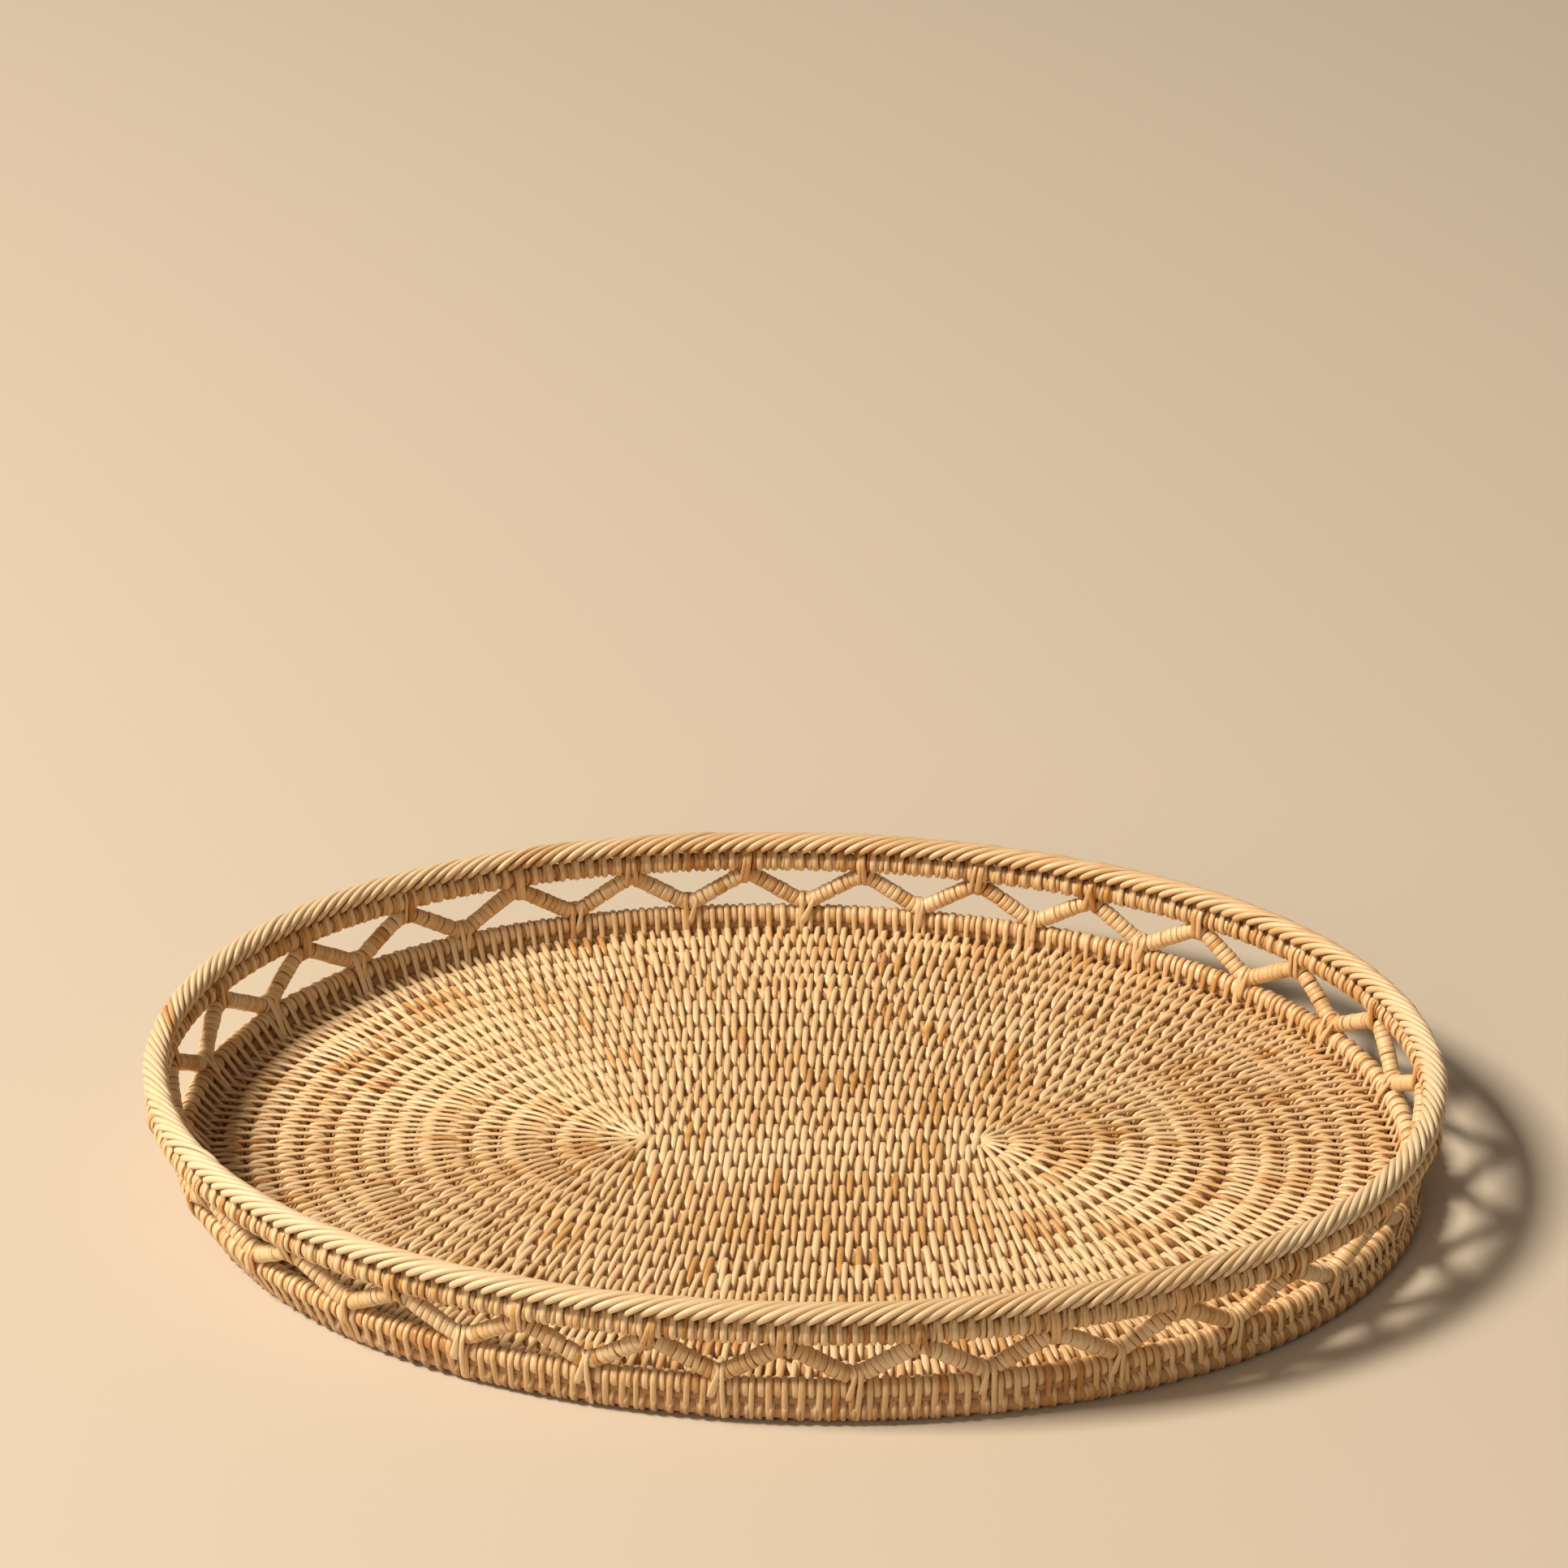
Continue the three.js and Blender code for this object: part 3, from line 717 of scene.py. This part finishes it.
def hull_band(centre, out, rise, along, circles, lean, count=28, crossed=False):
    """Loops round circles in the plane across the wall, leaning along it by lean over their height.

    Crossed loops lean the other way on the inside, so they make a V on both sides.
    """
    n, z, c, s = hull_points(circles, count)
    middle, half = middle_and_half(z)
    ahead = lean[:, None] * (z - middle) / half
    if crossed:
        ahead = ahead * np.clip(n / 2.5, -1, 1)
    path = across_row(centre, out, rise, along, n, z, ahead)
    return path, out[:, None] * c[..., None] + rise[:, None] * s[..., None]


def row_under(foot, out):
    """How far outside the edge coil's line the floor's last row runs: a little inwards everywhere."""
    row = floor_point(np.linspace(LAST_ROW, FLOOR_TURNS + TAIL_TURNS, 1100))
    offsets = row[None, :, :2] - foot[:, None, :2]
    nearest = (offsets ** 2).sum(2).argmin(1)
    return np.minimum((offsets[np.arange(len(foot)), nearest] * out[:, :2]).sum(1), -0.5)


def shares(order, total):
    """For each cane of a ring, which of the strips in order from 0 to total are wound on it."""
    ends = [i * total // CANES_PER_RING for i in range(CANES_PER_RING + 1)]
    return [(order >= start) & (order < end) for start, end in zip(ends, ends[1:])]


def build_edge():
    track = ring_track(EDGE)
    count = int(track.length / EDGE_PITCH)
    pitch = track.length / count
    lengths = np.arange(count) * pitch + RNG.normal(0, 0.22, count)
    centre, along, out = track.frame(lengths)
    under = row_under(centre, out)
    circles = circles_of((under - 0.9, CORE_Z, CORE_HALF_HEIGHT + 0.1),
                         (under + 0.1, CORE_Z, CORE_HALF_HEIGHT + 0.2),
                         (0, EDGE["z"], EDGE_CORE + 0.1))
    tilt = 0.2 - np.where(out[:, 0] > 0, 1.8, 1.0) * out[:, 0] ** 2 + RNG.normal(0, 0.22, count)
    path, up = hull_band(centre * LEVEL, out, np.broadcast_to(UP, out.shape), along, circles, tilt, 36)
    # painted shade: the straps grow darker and browner towards their lower ends, under the edge coil's
    # overhang and round the last row
    painted_shade = np.clip((5.5 - path[..., 2]) / 5, 0, 1) * 0.3
    # painted shade: straps and wraps on the near side are shifted towards darker, warmer honey, where the
    # near wall lies in shade; elsewhere a small shift paler
    front_painted_shade = 0.3 * np.clip(-out[:, 1], 0, 1) - 0.04
    tones = np.clip(strip_tones(count, 10, 0.15) + front_painted_shade, 0, 1)
    inside = ((path - centre[:, None]) * out[:, None]).sum(2) < -2.0
    taper = np.where(inside, 0.6 + 0.4 * np.clip((path[..., 2] - CORE_Z) / 5.5, 0, 1), 1.0)
    width = EDGE_STRAP[0] * RNG.normal(1, 0.07, (count, 1)) * taper
    straps = Bands()
    straps.add(path, up, width, EDGE_STRAP[1], HALF_ROUND, tones, True, painted_shade)
    between = np.arange(count) * pitch + pitch * 0.5 + RNG.normal(0, 0.2, count)
    half = (EDGE_CORE + 0.05, EDGE_CORE + 0.05)
    path, up = short_loops(track, between, half, EDGE["z"], RNG.normal(0.3, 0.25, count), 16)
    tones = np.clip(strip_tones(count, 10, 0.15) + front_painted_shade, 0, 1)
    straps.add(path, up, EDGE_WRAP[0] * RNG.normal(1, 0.1, count), EDGE_WRAP[1], FLAT_STRIP, tones, True)
    straps.build("edge_straps", honey_material, [])

    points, out = ring_line(EDGE)
    ring_cane("edge_core_cane", points, out, EDGE_CORE, core_material, ["edge_coil"], 14)
    halfway = out * (row_under(points, out) / 2)[:, None] + UP * (EDGE["z"] + CORE_Z) / 2
    ring_cane("edge_packing_cane", points * LEVEL + halfway, out, PACKING_HALF, core_material, [], 12, 0.3)


def build_zigzag():
    points, out, *_ = zigzag_place(np.arange(PERIODS * WALL_STEPS) / WALL_STEPS)
    ring_cane("zigzag_core_cane", points, out, ROD_CORE, shaded_core_material, [], 12, 0.5)
    track = Track(points, True)
    outs = np.concatenate([out, out[:1]])
    count = int(track.length / WRAP_PITCH)
    lengths = (np.arange(count) + RNG.normal(0, 0.05, count)) * track.length / count
    centre = track.place(lengths)
    along = unit(track.place(lengths + 0.8) - track.place(lengths - 0.8))
    at = lengths % track.length
    side = unit(np.stack([np.interp(at, track.at, outs[:, k]) for k in range(3)], -1))
    rise = unit(np.cross(side, along))
    angle = TAU * np.arange(14) / 14
    radial = side[:, None] * np.cos(angle)[None, :, None] + rise[:, None] * np.sin(angle)[None, :, None]
    tilt = RNG.normal(0.35, 0.15, count)
    ahead = tilt[:, None] * np.cos(angle + 0.9)
    path = centre[:, None] + radial * (ROD_CORE + 0.02) + along[:, None] * ahead[..., None]
    tones = np.clip(strip_tones(count, 9, 0.10) + RNG.normal(0.05, 0.1, count), 0, 1)
    widths = ROD_WRAP[0] * RNG.normal(1, 0.045, count)
    struts = PERIODS * 2
    strut = (lengths / track.length * struts).astype(int)
    for i, here in enumerate(shares(strut, struts), 1):
        thick = ROD_WRAP[1] * RNG.normal(1, 0.12, here.sum())
        wraps = Bands()
        wraps.add(path[here], radial[here], widths[here], thick, FLAT_STRIP, tones[here], True)
        wraps.build(f"zigzag_wraps_{i}", strip_material, [f"zigzag_cane_{i}"])


def build_bottom_ties():
    """A leaf-shaped strap from each valley round the edge coil, and a narrow one on under the last row."""
    point, out, foot, _, along, rise = zigzag_place(np.arange(PERIODS).astype(float))
    level_out = unit(out * LEVEL)
    row = foot * LEVEL + UP * CORE_Z + level_out * row_under(foot, level_out)[:, None]
    valley = (0.2, ((point - foot) * rise).sum(1), ROD_CORE + 0.75)
    edge = (0, 0, EDGE_CORE + 0.75)
    under = (((row - foot) * out).sum(1), ((row - foot) * rise).sum(1), CORE_HALF_HEIGHT + 0.45)
    ties = Bands()
    for circles, lean, shift, width, leaf in (
            (circles_of(valley, edge), 1.5, -0.9, 2.7, 0.55),
            (circles_of(valley, edge, under), 0.1, 1.2, 2.0, 0.1)):
        centre = foot + along * (shift + RNG.normal(0, 0.4, PERIODS))[:, None]
        leans = lean + RNG.normal(0, 0.45, PERIODS)
        path, normal = hull_band(centre, out, rise, along, circles, leans, 40, True)
        climb = ((path - foot[:, None]) * rise[:, None]).sum(2)
        middle, reach = middle_and_half(climb)
        shape = 1 - leaf * np.clip(np.abs(climb - middle + 1.5) / reach, 0, 1) ** 1.5
        widths = width * RNG.normal(1, 0.1, (PERIODS, 1)) * shape
        ties.add(path, normal, widths, BOTTOM_TIE_THICK, FLAT_STRIP, strip_tones(PERIODS, 4, 0.2), True)
    nodes = [f"bottom_tie_{i:02d}" for i in range(1, PERIODS + 1)]
    ties.build("bottom_ties", honey_material, nodes)


def build_top_ties():
    """Each peak hangs in two turns of strip that go over the hoop."""
    point, out, _, head, along, rise = zigzag_place(np.arange(PERIODS) + 0.5)
    peak = (0, ((point - head) * rise).sum(1), ROD_CORE + 0.75)
    circles = circles_of((0, 0, HOOP_CORE + 1.25), peak)
    ties = Bands()
    for lean, shift, width in ((0.4, -1.0, 2.2), (-0.5, 1.1, 1.7)):
        centre = head + along * (shift + RNG.normal(0, 0.45, PERIODS))[:, None]
        leans = lean + RNG.normal(0, 0.7, PERIODS)
        path, normal = hull_band(centre, out, rise, along, circles, leans, 32)
        tones = np.clip(RNG.normal(0.68, 0.18, PERIODS), 0.2, 0.95)
        ties.add(path, normal, width * RNG.normal(1, 0.1, PERIODS), TOP_TIE_THICK, FLAT_STRIP, tones, True)
    ties.build("top_ties", honey_material, [])


def build_hoop():
    points, out = ring_line(HOOP)
    ring_cane("hoop_core_cane", points, out, HOOP_CORE, core_material, [], 14)
    track = ring_track(HOOP)
    count = int(track.length / WRAP_PITCH)
    lengths = (np.arange(count) + RNG.normal(0, 0.06, count)) * track.length / count
    half = (HOOP_CORE + 0.02, HOOP_CORE + 0.02)
    path, up = short_loops(track, lengths, half, HOOP["z"], RNG.normal(0.6, 0.2, count), 14)
    width = HOOP_WRAP[0] * RNG.normal(1, 0.08, count)
    tones = np.clip(strip_tones(count) + 0.2, 0, 0.9)
    # painted shade for the hoop lying in the rim's shade, a random amount on each wrap
    painted_shade = np.clip(RNG.normal(0.15, 0.1, (count, 1)), 0, 0.4)
    wraps = Bands()
    wraps.add(path, up, width, HOOP_WRAP[1], HALF_ROUND, tones, True, painted_shade)
    wraps.build("hoop_wraps", honey_material, ["top_hoop"])
    for name, sign in (("outer", 1), ("inner", -1)):
        line = points * LEVEL + UP * RIM_Z + out * sign * FILLER_OFFSET
        ring_cane(f"rim_filler_{name}", line, out, FILLER_HALF, shaded_core_material, [f"rim_cane_{name}"])


def build_lashing():
    """Slanted strands over the rim: steep at both ends and nearly level over the top."""
    rim = ring_track(RIM)
    count = int(rim.length / LASH_PITCH)
    pitch = rim.length / count
    run = round(LASH_RUN / pitch) * pitch
    start = np.arange(count) * pitch + RNG.normal(0, 0.16, count)
    part = np.linspace(0, 1, 23)
    turn = np.radians(-48 + 276 * part)
    eased = 0.5 - 0.5 * np.cos(math.pi * part)
    centre, _, out = rim.frame(start[:, None] + run * (0.25 * part + 0.75 * eased - 0.5)[None])
    n, z = RIM_HALF[0] * np.cos(turn), RIM_HALF[1] * np.sin(turn)
    normal_n, normal_z = np.cos(turn) / RIM_HALF[0], np.sin(turn) / RIM_HALF[1]
    normal = unit(out * normal_n[None, :, None] + UP * normal_z[None, :, None])
    path = centre + out * n[None, :, None] + UP * z[None, :, None]
    path = path + normal * RNG.normal(0, 0.12, (count, 1, 1))
    tones = strip_tones(count, 20, 0.06) * 0.85
    from_end = 0.5 - np.abs(part - 0.5)
    shape = np.clip(0.3 + from_end / 0.09, 0, 1) * (1.0 - 0.1 * np.clip(from_end / 0.3, 0, 1))
    widths = LASH_STRIP[0] * RNG.normal(1, 0.06, (count, 1)) * shape[None]
    # painted shade: the strands grow darker towards both ends, where they run down into the gap beside the
    # hoop
    painted_shade = np.clip(1 - from_end / 0.08, 0, 1)[None] * 0.4
    for i, here in enumerate(shares(np.arange(count), count), 1):
        strands = Bands()
        strands.add(path[here], normal[here], widths[here], LASH_STRIP[1],
                    HALF_ROUND, tones[here], False, painted_shade)
        strands.build(f"rim_strands_{i}", rim_material, [f"rim_lashing_{i}"])


def build_hoop_straps():
    """The lashing's strips where they come down round the hoop, wide ones and narrow ones by turns."""
    rim = ring_track(RIM)
    count = int(rim.length / LASH_PITCH)
    pitch = rim.length / count
    sweep = np.radians(np.linspace(52, -232, 19))
    half_gap, top = 1.5, 39.2
    straps = Bands()
    # the narrow strap behind each wide one is shifted to a darker tone: painted shade, as it lies behind in
    # shade
    for shift, lean, radius, width, painted_shade_tone in (
            (0.5, 0.25, HOOP_CORE + 0.62, 2.3, 0.0),
            (0.98, -1.2, HOOP_CORE + 0.4, 1.6, 0.3)):
        at = np.arange(count) * pitch + shift * pitch + RNG.normal(0, 0.2, count)
        centre, along, out = rim.frame(at)
        n = np.concatenate([[half_gap], radius * np.cos(sweep), [-half_gap]])
        z = np.concatenate([[top], HOOP["z"] + radius * np.sin(sweep), [top]])
        ahead = np.linspace(-1, 1, len(n))[None] * (lean + RNG.normal(0, 0.25, (count, 1)))
        path = across_row(centre * LEVEL, out, UP[None], along, n, z, ahead)
        normal = out[:, None] * -np.gradient(z)[:, None] + UP * np.gradient(n)[:, None]
        tones = np.clip(strip_tones(count, 14, 0.2) + painted_shade_tone, 0, 1)
        widths = width * RNG.normal(1, 0.08, count)
        straps.add(path, unit(normal), widths, HOOP_STRAP_THICK, HALF_ROUND, tones, False)
    straps.build("hoop_straps", honey_material, [])


build_floor()
build_edge()
build_zigzag()
build_bottom_ties()
build_top_ties()
build_hoop()
build_lashing()
build_hoop_straps()


# ---- floor of the studio, light and camera ------------------------------------------------------
def plain_material(name, colour, roughness):
    material = bpy.data.materials.new(name)
    material.use_nodes = True
    shader = material.node_tree.nodes["Principled BSDF"]
    shader.inputs["Base Color"].default_value = (*colour, 1)
    shader.inputs["Roughness"].default_value = roughness
    return material


def build_stage():
    mesh = bpy.data.meshes.new("studio_floor")
    size = 30.0
    corners = [(-size, -size, 0), (size, -size, 0), (size, size, 0), (-size, size, 0)]
    mesh.from_pydata(corners, [], [(0, 1, 2, 3)])
    mesh.materials.append(plain_material("studio_floor", (0.60, 0.53, 0.45), 0.75))
    stage = bpy.data.objects.new("studio_floor", mesh)
    bpy.context.scene.collection.objects.link(stage)


def add_area(name, position, target, size, power, colour):
    light = bpy.data.lights.new(name, "AREA")
    light.size = size
    light.energy = power
    light.color = colour
    lamp = bpy.data.objects.new(name, light)
    lamp.location = position
    lamp.rotation_euler = (Vector(target) - Vector(position)).to_track_quat("-Z", "Y").to_euler()
    bpy.context.scene.collection.objects.link(lamp)


def build_light():
    add_area("key", (-2.6, -0.45, 3.05), (0, 0, 0), 1.0, 228, (1.0, 0.88, 0.71))
    add_area("fill", (-1.0, -2.5, 1.35), (0, 0, 0), 1.0, 14, (1.0, 0.86, 0.64))
    world = bpy.data.worlds.new("studio")
    bpy.context.scene.world = world
    world.use_nodes = True
    background = world.node_tree.nodes["Background"]
    background.inputs[0].default_value = (0.95, 0.78, 0.58, 1)
    background.inputs[1].default_value = 0.19


def build_camera():
    """Looks down at the long side, from a little to the right of its middle."""
    distance, elevation, azimuth = 1.818, math.radians(32.1), math.radians(3.17)
    pitch, yaw = math.radians(4.165), math.radians(0.12)
    level = distance * math.cos(elevation)
    height = distance * math.sin(elevation)
    camera = bpy.data.cameras.new("camera")
    camera.lens = 119.07
    camera.sensor_width = 36
    camera.clip_start = 0.05
    holder = bpy.data.objects.new("camera", camera)
    holder.location = (level * math.sin(azimuth), -level * math.cos(azimuth), height)
    holder.rotation_euler = (math.pi / 2 - elevation + pitch, 0, azimuth + yaw)
    bpy.context.scene.collection.objects.link(holder)
    bpy.context.scene.camera = holder


build_stage()
build_light()
build_camera()
bpy.context.scene.view_settings.view_transform = "Standard"
